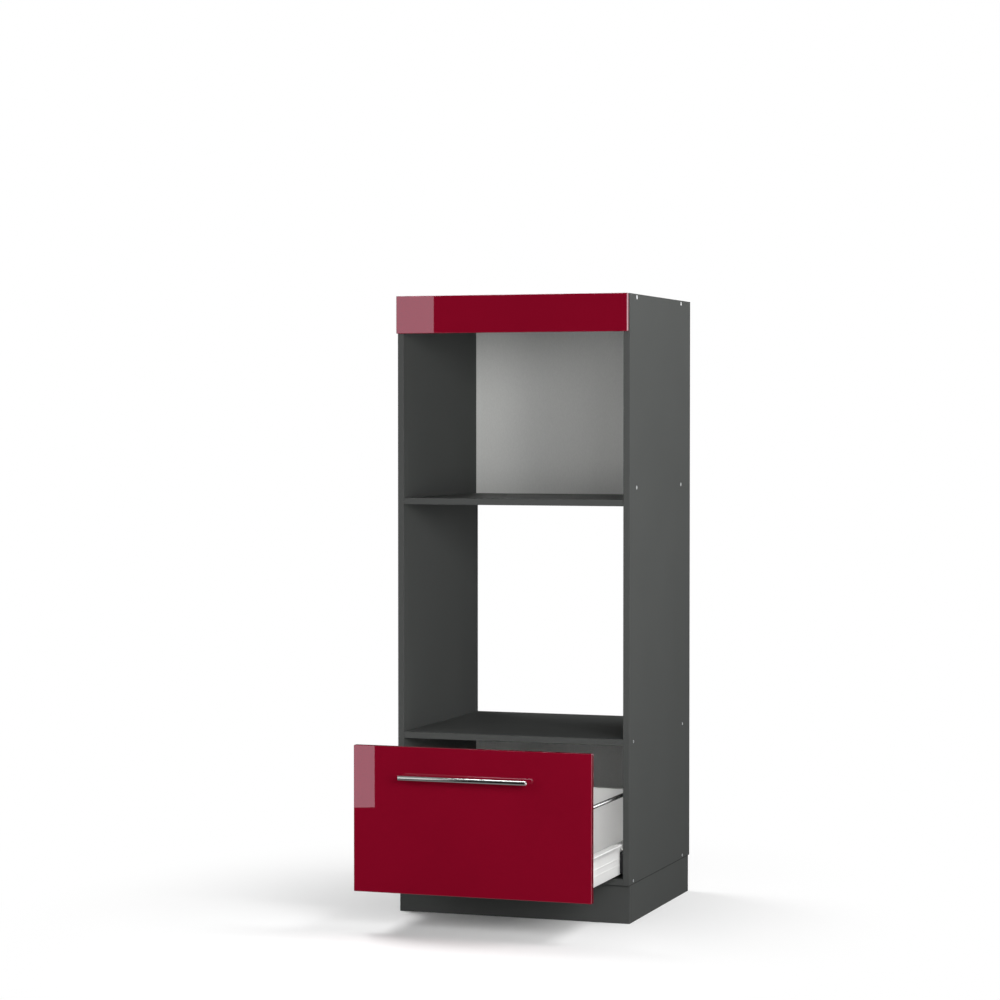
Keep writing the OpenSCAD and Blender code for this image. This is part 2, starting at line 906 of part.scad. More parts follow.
// Steel drawer side: foot flange, double wall and a flange that runs on the front roller
module drawer_side(s) {
    color("whitesmoke")
        on_side(s)
            difference() {
                union() {
                    board([wall_out - foot_w, side_y, box_z],
                        [wall_out, box_rear_y, box_z + sheet_t]);
                    board([wall_out - sheet_t, side_y, box_z], [wall_out, box_rear_y, side_top_z]);
                    board([wall_in, side_y, board_top_z + box_play],
                        [wall_in + sheet_t, box_rear_y, side_top_z]);
                    board([wall_in, side_y, flange_under_z],
                        [flange_x, box_rear_y, side_top_z]);
                    board([flange_x - sheet_t, side_y, side_top_z - lip_h],
                        [flange_x, box_rear_y, side_top_z]);
                    for (z = bead_zs)
                        board([wall_out - sheet_t, side_y + bead_h, z],
                            [wall_out + bead_out, box_rear_y - rear_roller_y - roller_d, z + bead_h]);
                }
                x_rod(wall_out - sheet_t - eps, wall_out + eps, rear_axis[0], rear_axis[1],
                    axle_d + 2 * fix_play);
                for (y = bottom_screws)
                    bottom_screw_place(y) wood_screw_hole();
            }
}

module bottom_screw_place(y) {
    translate([wall_out - foot_w * 0.75, y, box_z])
        children();
}

module drawer_bottom() {
    half = wall_out - sheet_t - box_play;
    color("white")
        difference() {
            board([-half, side_y, board_z], [half, box_rear_y, board_top_z]);
            for (s = sides, y = bottom_screws)
                on_side(s)
                    bottom_screw_place(y) wood_screw_hole();
        }
}

module drawer_bottom_screws() {
    color("lightgray")
        for (s = sides, y = bottom_screws)
            on_side(s)
                bottom_screw_place(y) wood_screw();
}

module drawer_back() {
    half = wall_in - box_play;
    color("white")
        difference() {
            board([-half, back_board_y, board_top_z], [half, box_rear_y, back_top_z]);
            for (s = sides, z = back_screw_zs)
                on_side(s)
                    back_screw_place(z) wood_screw_hole();
        }
}

// Where a front bracket's screw goes into the drawer front
module front_screw_place(z) {
    translate([plate_screw_x, side_y, z])
        rotate([90, 0, 0])
            children();
}

// Where a back bracket's screw goes into the drawer back
module back_screw_place(z) {
    translate([plate_screw_x, box_rear_y + bracket_plate_t, z])
        rotate([90, 0, 0])
            children();
}

// The tongue that a bracket pushes between the two walls of a drawer side
module wall_tab(y0, y1) {
    board([wall_in + sheet_t + tab_play, y0, board_top_z + tab_gap],
        [wall_out - sheet_t - tab_play, y1, rear_axis[1] - rivet_d / 2 - tab_gap]);
}

module front_brackets() {
    color("whitesmoke")
        for (s = sides)
            on_side(s)
                difference() {
                    union() {
                        board([wall_in - plate_in, box_y, board_top_z + box_play],
                            [wall_out, side_y, side_top_z - plate_margin]);
                        wall_tab(box_y + bracket_plate_t / 2, side_y + tab_len);
                    }
                    for (z = front_screw_zs)
                        front_screw_place(z) wood_screw_hole();
                }
}

module front_bracket_screws() {
    color("lightgray")
        for (s = sides, z = front_screw_zs)
            on_side(s)
                front_screw_place(z) wood_screw();
}

// Back bracket: a plate on the rear of the drawer back, a tongue and the rear rail socket
module back_brackets() {
    y1 = box_rear_y + bracket_plate_t;
    color("whitesmoke")
        for (s = sides)
            on_side(s)
                difference() {
                    union() {
                        board([wall_in - plate_in, box_rear_y, board_top_z],
                            [wall_out, y1, rail_axis_z]);
                        y_rod(rail_x, box_rear_y - socket_len, y1, rail_axis_z, socket_d);
                        wall_tab(box_rear_y - tab_len, box_rear_y + bracket_plate_t / 2);
                    }
                    y_rod(rail_x, box_rear_y - socket_len - eps,
                        box_rear_y - socket_len + rail_grip, rail_axis_z, rail_d + 2 * fix_play);
                    for (z = back_screw_zs)
                        back_screw_place(z) wood_screw_hole();
                }
}

module back_bracket_screws() {
    color("lightgray")
        for (s = sides, z = back_screw_zs)
            on_side(s)
                back_screw_place(z) wood_screw();
}

module gallery_rail(s) {
    y0 = box_y + socket_flange_t + socket_len - rail_grip;
    y1 = box_rear_y - socket_len + rail_grip;
    color("silver")
        on_side(s)
            difference() {
                y_rod(rail_x, y0, y1, rail_axis_z, rail_d);
                y_rod(rail_x, y0 - eps, y1 + eps, rail_axis_z, rail_d - 2 * rail_wall);
            }
}

// Front rail sockets, pegged into the drawer front
module rail_sockets() {
    y1 = box_y + socket_flange_t + socket_len;
    color("whitesmoke")
        for (s = sides)
            on_side(s)
                difference() {
                    union() {
                        y_rod(rail_x, box_y, box_y + socket_flange_t, rail_axis_z,
                            socket_flange_d);
                        y_rod(rail_x, box_y, y1, rail_axis_z, socket_d);
                        y_rod(rail_x, box_y - socket_peg_len, box_y + 1, rail_axis_z,
                            socket_peg_d);
                    }
                    y_rod(rail_x, y1 - rail_grip, y1 + eps, rail_axis_z, rail_d + 2 * fix_play);
                }
}

module drawer_bumpers() {
    color("gray")
        for (s = sides, z = bumper_zs)
            on_side(s)
                y_rod(half_w - panel_t / 2, box_y, box_y + bumper_t, z, bumper_d);
}

// The rear axles are riveted in the outer walls of the drawer sides
module rear_roller_axles() {
    x0 = wall_out - sheet_t - rivet_h;
    color("silver")
        for (s = sides)
            on_side(s) {
                x_rod(x0, roller_x1 + side_play + rivet_h, rear_axis[0], rear_axis[1], axle_d);
                x_rod(x0, wall_out - sheet_t, rear_axis[0], rear_axis[1], rivet_d);
                x_rod(wall_out, roller_x0 - side_play, rear_axis[0], rear_axis[1], rivet_d);
                x_rod(roller_x1 + side_play, roller_x1 + side_play + rivet_h, rear_axis[0],
                    rear_axis[1], rivet_d);
            }
}

side_panel(-1);  // left_side_panel
side_panel(1);  // right_side_panel
top_panel();
upper_shelf();
middle_panel();
bottom_panel();
upper_back_panel();
lower_back_panel();
top_fascia();
fascia_brackets();
fascia_screws();
plinth_front();
plinth_rear();
plinth_side(-1);  // plinth_left
plinth_side(1);  // plinth_right
plinth_corner_blocks();
plinth_screws();
top_screws();
base_screws();
spare_hole_caps();
shelf_cams();
cam_bolts();
dowels();
runner(-1);  // left_runner
runner(1);  // right_runner
runner_front_blocks();
runner_screws();
front_roller_axles();
roller(-1, front_axis);  // left_front_roller
roller(1, front_axis);  // right_front_roller
drawer_front();
handle_bar();
handle_posts();
handle_screws();
drawer_side(-1);  // left_drawer_side
drawer_side(1);  // right_drawer_side
drawer_bottom();
drawer_bottom_screws();
drawer_back();
front_brackets();
front_bracket_screws();
back_brackets();
back_bracket_screws();
gallery_rail(-1);  // left_gallery_rail
gallery_rail(1);  // right_gallery_rail
rail_sockets();
drawer_bumpers();
rear_roller_axles();
roller(-1, rear_axis);  // left_rear_roller
roller(1, rear_axis);  // right_rear_roller
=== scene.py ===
import json
import math
import bmesh
import bpy
from mathutils import Matrix, Vector

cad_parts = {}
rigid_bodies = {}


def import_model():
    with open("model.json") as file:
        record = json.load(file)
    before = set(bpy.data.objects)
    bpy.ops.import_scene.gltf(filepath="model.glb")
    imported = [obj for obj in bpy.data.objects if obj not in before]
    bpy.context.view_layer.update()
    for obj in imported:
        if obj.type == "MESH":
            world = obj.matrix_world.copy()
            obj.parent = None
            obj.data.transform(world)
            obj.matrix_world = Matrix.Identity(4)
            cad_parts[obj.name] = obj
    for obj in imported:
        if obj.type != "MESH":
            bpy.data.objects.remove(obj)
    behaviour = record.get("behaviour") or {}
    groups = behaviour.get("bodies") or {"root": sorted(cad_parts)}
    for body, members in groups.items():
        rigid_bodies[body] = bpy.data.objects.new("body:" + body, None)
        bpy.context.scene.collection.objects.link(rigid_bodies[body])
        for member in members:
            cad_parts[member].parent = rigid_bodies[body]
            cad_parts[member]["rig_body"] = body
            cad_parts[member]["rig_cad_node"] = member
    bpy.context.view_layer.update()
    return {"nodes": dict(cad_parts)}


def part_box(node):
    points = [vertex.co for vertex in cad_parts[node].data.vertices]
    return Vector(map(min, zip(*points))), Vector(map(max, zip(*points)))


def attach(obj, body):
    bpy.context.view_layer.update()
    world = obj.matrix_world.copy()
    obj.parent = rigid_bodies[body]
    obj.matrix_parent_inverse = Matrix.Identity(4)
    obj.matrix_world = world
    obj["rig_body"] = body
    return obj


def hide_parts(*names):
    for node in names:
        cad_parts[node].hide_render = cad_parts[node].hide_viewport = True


bpy.ops.object.select_all(action="SELECT")
bpy.ops.object.delete()  # an empty scene, so that only the cabinet is measured
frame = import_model()
nodes = frame["nodes"]
mm = 0.001
flatFace = 0.98  # a normal this close to an axis belongs to a flat face
tolerance = dict(weld=0.001, copyWeld=0.002, same=0.01, level=0.5, sharp=50, fold=60)  # mm and degrees
print("loaded", len(nodes), "cad nodes")


# working helpers

def deselectAll():
    bpy.ops.object.select_all(action="DESELECT")


def activate(piece):
    deselectAll()
    piece.select_set(True)
    bpy.context.view_layer.objects.active = piece


def settle(piece):  # place goes into the mesh, the object stays at the origin
    activate(piece)
    bpy.ops.object.transform_apply(location=True, rotation=True, scale=True)


def applyModifiers(piece):
    activate(piece)
    for modifier in list(piece.modifiers):
        bpy.ops.object.modifier_apply(modifier=modifier.name)


def facesOut(piece):
    activate(piece)
    bpy.ops.object.mode_set(mode="EDIT")
    bpy.ops.mesh.select_all(action="SELECT")
    bpy.ops.mesh.normals_make_consistent(inside=False)
    bpy.ops.object.mode_set(mode="OBJECT")


def smooth(piece, degrees=35):
    activate(piece)
    bpy.ops.object.shade_smooth_by_angle(angle=math.radians(degrees))


def evenNormals(piece, degrees=80):  # flat faces stay flat beside a rounded edge
    smooth(piece, degrees)
    weighted = piece.modifiers.new("evenNormals", "WEIGHTED_NORMAL")
    weighted.keep_sharp = True
    applyModifiers(piece)


def finishPiece(piece, body, node, slotName, finish, *others):
    piece.data.materials.clear()
    piece.data.materials.append(finish)
    for other in others:
        piece.data.materials.append(other)
    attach(piece, body)
    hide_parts(node)
    return piece


def turned(name, start, axis, rings, sides=48, solid=True):
    # a turned shape: each ring is its distance along the axis and its radius, in millimetres
    axis = Vector(axis)
    start = Vector(start)
    along, radius = rings[0]
    deselectAll()
    bpy.ops.mesh.primitive_circle_add(vertices=sides, radius=radius * mm,
        fill_type="NGON" if solid else "NOTHING", location=start + axis * along * mm,
        rotation=Vector((0, 0, 1)).rotation_difference(axis).to_euler())
    piece = bpy.context.object
    piece.name = name
    settle(piece)
    bpy.ops.object.mode_set(mode="EDIT")
    bpy.ops.mesh.select_all(action="SELECT")
    for nextAlong, nextRadius in rings[1:]:
        bpy.ops.mesh.extrude_region_move(
            TRANSFORM_OT_translate={"value": axis * (nextAlong - along) * mm})
        share = nextRadius / radius
        bpy.ops.transform.resize(value=(share, share, share),
            center_override=start + axis * nextAlong * mm)
        along, radius = nextAlong, nextRadius
    if not solid:  # the last ring lies on the first one
        bpy.ops.mesh.select_all(action="SELECT")
        bpy.ops.mesh.remove_doubles(threshold=tolerance["weld"] * mm)
    bpy.ops.object.mode_set(mode="OBJECT")
    facesOut(piece)
    smooth(piece)
    return piece


def folded(name, corner, length, steps, thickness, bend, bendSteps=4):
    # sheet steel: a strip along Y whose free edge is drawn on step by step, then bent and thickened
    corner = Vector(corner)
    first = Vector((steps[0][0], 0, steps[0][1])) * mm
    deselectAll()
    bpy.ops.mesh.primitive_plane_add(size=1, location=corner + first / 2 + Vector((0, length / 2, 0)))
    piece = bpy.context.object
    piece.name = name
    piece.scale = (first.length, length, 1)
    piece.rotation_euler = (0, -math.atan2(first.z, first.x), 0)
    settle(piece)
    bpy.ops.object.mode_set(mode="EDIT")
    bpy.ops.mesh.select_mode(type="EDGE")
    bpy.ops.mesh.select_all(action="DESELECT")
    mesh = bmesh.from_edit_mesh(piece.data)
    reach = corner + first
    for edge in mesh.edges:
        middle = (edge.verts[0].co + edge.verts[1].co) / 2
        edge.select_set(math.hypot(middle.x - reach.x, middle.z - reach.z) < tolerance["same"] * mm)
    bmesh.update_edit_mesh(piece.data)
    for across, up in steps[1:]:
        bpy.ops.mesh.extrude_region_move(
            TRANSFORM_OT_translate={"value": Vector((across, 0, up)) * mm})
    mesh = bmesh.from_edit_mesh(piece.data)
    for edge in mesh.edges:
        bent = len(edge.link_faces) == 2 and edge.calc_face_angle() > math.radians(tolerance["fold"])
        edge.select_set(bent)
    bmesh.update_edit_mesh(piece.data)
    bpy.ops.mesh.bevel(offset=bend * mm, segments=bendSteps, affect="EDGES", clamp_overlap=False)
    bpy.ops.mesh.select_all(action="SELECT")
    bpy.ops.mesh.normals_make_consistent(inside=False)
    bpy.ops.mesh.select_mode(type="VERT")
    bpy.ops.object.mode_set(mode="OBJECT")
    wall = piece.modifiers.new("sheet", "SOLIDIFY")
    wall.thickness = thickness
    wall.offset = 0
    wall.use_even_offset = True
    applyModifiers(piece)
    facesOut(piece)
    smooth(piece)
    return piece


def copied(master, name, place):  # a copy with its own mesh, moved by a matrix
    activate(master)
    bpy.ops.object.duplicate()
    copy = bpy.context.object
    copy.name = name
    copy.matrix_world = place
    settle(copy)
    return copy


def joined(name, pieces):
    deselectAll()
    for piece in pieces:
        piece.select_set(True)
    bpy.context.view_layer.objects.active = pieces[0]
    if len(pieces) > 1:
        bpy.ops.object.join()
    pieces[0].name = name
    return pieces[0]


def mirroredX(piece, name):  # the same shape for the other side of the cabinet
    copy = copied(piece, name, Matrix.Scale(-1, 4, (1, 0, 0)))
    facesOut(copy)
    smooth(copy)
    return copy


# finishes

def newFinish(name, colour, roughness, metallic=0.0, specular=0.5):
    finish = bpy.data.materials.new(name)
    finish.use_nodes = True
    finish.diffuse_color = (*colour, 1)
    shader = finish.node_tree.nodes["Principled BSDF"]
    shader.inputs["Base Color"].default_value = (*colour, 1)
    shader.inputs["Roughness"].default_value = roughness
    shader.inputs["Metallic"].default_value = metallic
    shader.inputs["Specular IOR Level"].default_value = specular
    return finish


def objectPattern(finish, stretch=(1, 1, 1)):
    tree = finish.node_tree
    place = tree.nodes.new("ShaderNodeTexCoord")
    mapping = tree.nodes.new("ShaderNodeMapping")
    mapping.inputs["Scale"].default_value = stretch
    tree.links.new(place.outputs["Object"], mapping.inputs["Vector"])
    return mapping.outputs["Vector"]


def addNoise(finish, vector, scale, detail, rough=0.5):
    tree = finish.node_tree
    noise = tree.nodes.new("ShaderNodeTexNoise")
    noise.inputs["Scale"].default_value = scale
    noise.inputs["Detail"].default_value = detail
    noise.inputs["Roughness"].default_value = rough
    tree.links.new(vector, noise.inputs["Vector"])
    return noise.outputs["Fac"]


def rangedNode(tree, value, start, end, low, high, curve="LINEAR"):
    ranged = tree.nodes.new("ShaderNodeMapRange")
    ranged.interpolation_type = curve
    ranged.inputs["From Min"].default_value = start
    ranged.inputs["From Max"].default_value = end
    ranged.inputs["To Min"].default_value = low
    ranged.inputs["To Max"].default_value = high
    tree.links.new(value, ranged.inputs["Value"])
    return ranged.outputs["Result"]


def connect(finish, output, channel):
    finish.node_tree.links.new(output, finish.node_tree.nodes["Principled BSDF"].inputs[channel])


def addMottle(finish, factor, colour, dark, light, start=0.35, end=0.65):
    # the colour from a darker to a lighter share of itself
    ramp = finish.node_tree.nodes.new("ShaderNodeValToRGB")
    for stop, position, share in zip(ramp.color_ramp.elements, (start, end), (dark, light)):
        stop.position = position
        stop.color = (*(min(1.0, c * share) for c in colour), 1)
    finish.node_tree.links.new(factor, ramp.inputs["Fac"])
    connect(finish, ramp.outputs["Color"], "Base Color")


def addSheen(finish, factor, low, high, start=0.3, end=0.7):  # the roughness from low to high
    connect(finish, rangedNode(finish.node_tree, factor, start, end, low, high), "Roughness")


def addBump(finish, factor, strength, depth):
    bump = finish.node_tree.nodes.new("ShaderNodeBump")
    bump.inputs["Strength"].default_value = strength
    bump.inputs["Distance"].default_value = depth
    finish.node_tree.links.new(factor, bump.inputs["Height"])
    connect(finish, bump.outputs["Normal"], "Normal")


melamine = dict(fine=1400, fineDetail=3.0, fineRough=0.6, slow=6, slowDetail=2.0, sheen=0.02, depth=0.05)


def boardFinish(name, colour, grain, roughness, specular, pearl=0.25):
    # melamine on chipboard: fine mottle, a pearl texture and slow changes of sheen
    finish = newFinish(name, colour, roughness, specular=specular)
    vector = objectPattern(finish)
    fine = addNoise(finish, vector, melamine["fine"], melamine["fineDetail"], melamine["fineRough"])
    slow = addNoise(finish, vector, melamine["slow"], melamine["slowDetail"])
    addMottle(finish, fine, colour, 1 - grain, 1 + grain)
    addSheen(finish, slow, roughness - melamine["sheen"], roughness + melamine["sheen"])
    addBump(finish, fine, pearl, melamine["depth"] * mm)
    return finish


# arrisShade is a painted shade colour: near-black rounded edges that stand in for the shadow lines along the
# joints
graphite = dict(colour=(0.0715, 0.0745, 0.0723), edging=(0.060, 0.062, 0.0605),
    arrisShade=(0.012, 0.0125, 0.012), grain=0.07, edgeGrain=0.03)
graphiteBoard = boardFinish("graphiteBoard", graphite["colour"], graphite["grain"],
    roughness=0.55, specular=0.012)
graphiteEdging = boardFinish("graphiteEdging", graphite["edging"], graphite["edgeGrain"],
    roughness=0.45, specular=0.03, pearl=0.1)
graphiteTop = boardFinish("graphiteTop", graphite["colour"], graphite["grain"],
    roughness=0.45, specular=0.12)  # level faces have more sheen
# painted shade: the rounded edges go near-black, as the shadow lines between the boards
paintedArrisShade = boardFinish("paintedArrisShade", graphite["arrisShade"], graphite["edgeGrain"],
    roughness=0.5, specular=0.0, pearl=0.1)
whiteBoard = boardFinish("whiteBoard", (0.955, 0.950, 0.938), 0.02,
    roughness=0.45, specular=0.2, pearl=0.15)


def redGlossFinish():
    # lacquered board: deep red, a tinted mirror and a faint orange peel
    look = dict(colour=(0.166, 0.0022, 0.0125), dark=0.97, light=1.03, roughness=0.008, specular=1.0,
        mirror=(1.0, 0.80, 0.94), cloudScale=5, cloudDetail=2.0, peelScale=160, peelDetail=1.0,
        peel=0.006, peelDepth=0.1)
    finish = newFinish("redGloss", look["colour"], look["roughness"], specular=look["specular"])
    finish.node_tree.nodes["Principled BSDF"].inputs["Specular Tint"].default_value = (*look["mirror"], 1)
    vector = objectPattern(finish)
    cloud = addNoise(finish, vector, look["cloudScale"], look["cloudDetail"])
    peel = addNoise(finish, vector, look["peelScale"], look["peelDetail"])
    addMottle(finish, cloud, look["colour"], look["dark"], look["light"])
    addBump(finish, peel, look["peel"], look["peelDepth"] * mm)
    return finish


def backBoardFinish():
    # pale foil on thin fibreboard, with the faint fleece of the fibres under it
    look = dict(colour=(0.70, 0.705, 0.687), dark=0.965, light=1.03, roughness=0.5, sheen=(0.45, 0.56),
        specular=0.25, stretch=(1, 1, 0.35), scale=520, detail=4.0, rough=0.65, bump=0.15, depth=0.04)
    finish = newFinish("paleBackBoard", look["colour"], look["roughness"], specular=look["specular"])
    vector = objectPattern(finish, look["stretch"])
    fleece = addNoise(finish, vector, look["scale"], look["detail"], look["rough"])
    addMottle(finish, fleece, look["colour"], look["dark"], look["light"])
    addSheen(finish, fleece, *look["sheen"])
    addBump(finish, fleece, look["bump"], look["depth"] * mm)
    return finish


def steelFinish():
    # white powder coat with its fine orange peel
    look = dict(colour=(0.865, 0.862, 0.848), dark=0.98, light=1.01, roughness=0.35, sheen=(0.3, 0.4),
        specular=0.4, detail=2.0, cloudScale=14, peelScale=620, peel=0.18, peelDepth=0.03)
    finish = newFinish("whiteSteel", look["colour"], look["roughness"], specular=look["specular"])
    vector = objectPattern(finish)
    peel = addNoise(finish, vector, look["peelScale"], look["detail"])
    cloud = addNoise(finish, vector, look["cloudScale"], look["detail"])
    addMottle(finish, cloud, look["colour"], look["dark"], look["light"])
    addSheen(finish, cloud, *look["sheen"])
    addBump(finish, peel, look["peel"], look["peelDepth"] * mm)
    return finish


metal = dict(dark=0.96, light=1.03, detail=3.0, rough=0.6, depth=0.02)


def metalFinish(name, colour, low, high, stretch, scale, scratch, metallic=1.0):
    # metal with fine streaks along the piece
    finish = newFinish(name, colour, low, metallic=metallic)
    streak = addNoise(finish, objectPattern(finish, stretch), scale, metal["detail"], metal["rough"])
    addMottle(finish, streak, colour, metal["dark"], metal["light"])
    addSheen(finish, streak, low, high)
    addBump(finish, streak, scratch, metal["depth"] * mm)
    return finish


moulded = dict(dark=0.95, light=1.05, sheen=0.05, scale=900, detail=2.0, bump=0.2, depth=0.04)


def plasticFinish(name, colour, roughness, specular=0.4):
    # moulded plastic or rubber with a fine grain
    finish = newFinish(name, colour, roughness, specular=specular)
    fine = addNoise(finish, objectPattern(finish), moulded["scale"], moulded["detail"])
    addMottle(finish, fine, colour, moulded["dark"], moulded["light"])
    addSheen(finish, fine, roughness - moulded["sheen"], roughness + moulded["sheen"])
    addBump(finish, fine, moulded["bump"], moulded["depth"] * mm)
    return finish


def beechFinish():
    # pressed dowels: long beech fibres along X
    look = dict(colour=(0.60, 0.43, 0.26), dark=0.75, light=1.1, roughness=0.7, specular=0.2,
        stretch=(0.06, 1, 1), scale=900, detail=4.0, rough=0.6, bump=0.3, depth=0.1)
    finish = newFinish("beech", look["colour"], look["roughness"], specular=look["specular"])
    vector = objectPattern(finish, look["stretch"])
    fibre = addNoise(finish, vector, look["scale"], look["detail"], look["rough"])
    addMottle(finish, fibre, look["colour"], look["dark"], look["light"])
    addBump(finish, fibre, look["bump"], look["depth"] * mm)
    return finish


redGloss = redGlossFinish()
paleBackBoard = backBoardFinish()
whiteSteel = steelFinish()
barChrome = metalFinish("barChrome", (0.38, 0.39, 0.38), low=0.12, high=0.24,
    stretch=(0.02, 1, 1), scale=1600, scratch=0.05)
railChrome = metalFinish("railChrome", (0.86, 0.86, 0.86), low=0.22, high=0.28,
    stretch=(1, 0.02, 1), scale=1400, scratch=0.02)
zincSteel = metalFinish("zincSteel", (0.72, 0.73, 0.74), low=0.25, high=0.38,
    stretch=(1, 1, 1), scale=500, scratch=0.1, metallic=0.6)
greyPlastic = plasticFinish("greyPlastic", (0.45, 0.46, 0.46), roughness=0.4)
blackPlastic = plasticFinish("blackPlastic", (0.010, 0.010, 0.011), roughness=0.5, specular=0.3)
whitePlastic = plasticFinish("whitePlastic", (0.88, 0.88, 0.86), roughness=0.35)
clearRubber = plasticFinish("clearRubber", (0.60, 0.60, 0.60), roughness=0.25, specular=0.5)
beech = beechFinish()
bySlot = {
    "graphite_board": graphiteBoard, "red_gloss": redGloss, "pale_back_board": paleBackBoard,
    "white_steel": whiteSteel, "white_board": whiteBoard, "polished_chrome": railChrome,
    "zinc_steel": zincSteel, "grey_plastic": greyPlastic, "black_plastic": blackPlastic,
    "white_plastic": whitePlastic, "clear_rubber": clearRubber, "beech": beech,
}
for node in nodes.values():  # every carried-over node wears the finish of its slot
    for place in node.material_slots:
        place.material = bySlot[place.material.name.split(".")[0]]
print("made", len(bySlot), "finishes")


# softened boards: a node's own outline with its long edges rounded

def edgingAndArrisShade(piece, look, front):  # banding in front, painted shade on the other rounded edges, more sheen on top
    for finish in (look["edging"], look["arrisShade"], look["top"]):
        piece.data.materials.append(finish)
    for face in piece.data.polygons:
        slanted = max(abs(side) for side in face.normal) < flatFace
        if face.center.y < front and face.normal.y < look["frontTilt"]:
            face.material_index = 1
        # the slanted rounding faces that don't face the front wear the painted shade
        elif slanted and face.normal.y > look["arrisTilt"]:
            face.material_index = 2
        elif face.normal.z > flatFace:
            face.material_index = 3


def softened(node, body, slotName, look):
    activate(nodes[node])
    bpy.ops.object.duplicate()
    piece = bpy.context.object
    piece.name = look.get("name", "soft_" + node)
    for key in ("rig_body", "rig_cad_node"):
        del piece[key]
    piece.parent = None
    bpy.ops.object.mode_set(mode="EDIT")
    bpy.ops.mesh.select_all(action="SELECT")
    bpy.ops.mesh.customdata_custom_splitnormals_clear()
    bpy.ops.mesh.remove_doubles(threshold=tolerance["copyWeld"] * mm)
    bpy.ops.mesh.dissolve_limited(angle_limit=math.radians(tolerance["level"]))
    bpy.ops.mesh.select_all(action="DESELECT")
    mesh = bmesh.from_edit_mesh(piece.data)
    for edge in mesh.edges:
        sharp = len(edge.link_faces) == 2 and edge.calc_face_angle() > math.radians(tolerance["sharp"])
        edge.select_set(sharp and edge.calc_length() > look["shortest"] * mm)
    bmesh.update_edit_mesh(piece.data)
    bpy.ops.mesh.bevel(offset=look["round"] * mm, segments=look["steps"], affect="EDGES",
        clamp_overlap=False)
    bpy.ops.object.mode_set(mode="OBJECT")
    evenNormals(piece)
    finishPiece(piece, body, node, slotName, bySlot[slotName])
    if "edging" in look:
        edgingAndArrisShade(piece, look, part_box(node)[0].y + look["round"] * look["bandShare"] * mm)
    if "rear" in look:
        piece.data.materials.append(look["rear"])
        for face in piece.data.polygons:
            face.material_index = 1 if face.normal.y > flatFace else 0
    return piece


# the banding covers what lies within bandShare of the rounding from the front edge
carcassBoard = dict(round=0.9, steps=2, shortest=8, edging=graphiteEdging, arrisShade=paintedArrisShade,
    top=graphiteTop, bandShare=1.5, frontTilt=-0.3, arrisTilt=-0.2)
for node in ("left_side_panel", "right_side_panel", "top_panel", "upper_shelf", "middle_panel",
        "bottom_panel", "plinth_front", "plinth_rear", "plinth_left", "plinth_right"):
    softened(node, "carcass", "graphite_board", carcassBoard)
thinBoard = dict(round=0.3, steps=1, shortest=8)
for node in ("upper_back_panel", "lower_back_panel"):
    softened(node, "carcass", "pale_back_board", thinBoard)
drawerBoard = dict(round=0.6, steps=2, shortest=8)
for node in ("drawer_bottom", "drawer_back"):
    softened(node, "drawer", "white_board", drawerBoard)
print("softened the boards")

frontBoard = dict(round=1.4, steps=4, shortest=12, rear=whiteBoard)  # the rear face is white
softened("top_fascia", "carcass", "red_gloss", frontBoard)
softened("drawer_front", "drawer", "red_gloss", frontBoard)
print("rounded the gloss fronts")

sheetPart = dict(round=0.3, steps=2, shortest=3)
for node, body, slotName in (("fascia_brackets", "carcass", "zinc_steel"),
        ("front_brackets", "drawer", "white_steel"), ("back_brackets", "drawer", "white_steel"),
        ("left_runner", "carcass", "white_steel"), ("right_runner", "carcass", "white_steel")):
    softened(node, body, slotName, sheetPart)
mouldedBlock = dict(round=0.8, steps=2, shortest=8)
for node in ("runner_front_blocks", "plinth_corner_blocks"):
    softened(node, "carcass", "black_plastic", mouldedBlock)
print("softened the sheet parts and blocks")


# handle: a polished bar on two posts

handle = dict(edge=1.2, corner=(60, 30, 0), wall=2.6, recess=0.7, sink=0.3, foot=0.5, sides=64,
    postSides=32, endTilt=0.2)


def makeHandle():
    low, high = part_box("handle_bar")
    radius = min(high.z - low.z, high.y - low.y) / 2 / mm
    length = (high.x - low.x) / mm
    edge, lip = handle["edge"], radius - handle["wall"]
    end = [(handle["recess"], lip - handle["sink"]), (0, lip), (0, radius - edge)]
    end += [(edge * (1 - math.sin(math.radians(turn))), radius - edge * (1 - math.cos(math.radians(turn))))
        for turn in handle["corner"]]
    rings = end + [(length - along, size) for along, size in reversed(end)]
    start = (low.x, (low.y + high.y) / 2, (low.z + high.z) / 2)
    bar = turned("handleBar", start, (1, 0, 0), rings, sides=handle["sides"])
    finishPiece(bar, "drawer", "handle_bar", "polished_chrome", barChrome, railChrome)
    # painted highlight: the end faces wear the lighter rail metal, so that the bar's ends show a bright ring
    for face in bar.data.polygons:
        face.material_index = 1 if abs(face.normal.x) > handle["endTilt"] else 0


def makePosts():
    low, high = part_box("handle_posts")
    radius = (high.z - low.z) / 2
    foot = handle["foot"]
    length = (high.y - low.y) / mm
    rings = [(0, radius / mm), (length - foot, radius / mm), (length, radius / mm - foot)]
    posts = [turned("handlePost", (x, low.y, (low.z + high.z) / 2), (0, 1, 0), rings,
        sides=handle["postSides"]) for x in (low.x + radius, high.x - radius)]
    finishPiece(joined("handlePosts", posts), "drawer", "handle_posts", "polished_chrome", barChrome)


makeHandle()
makePosts()
print("made the handle")


# drawer sides: double-walled folded steel with two rolled beads

steelSide = dict(sheet=1.2, bend=1.0, bead=4.0, beadOut=0.4, beadSlope=0.5, beadRise=(22, 38),
    foot=24, wall=11, lip=3.2, bottom=17.5)


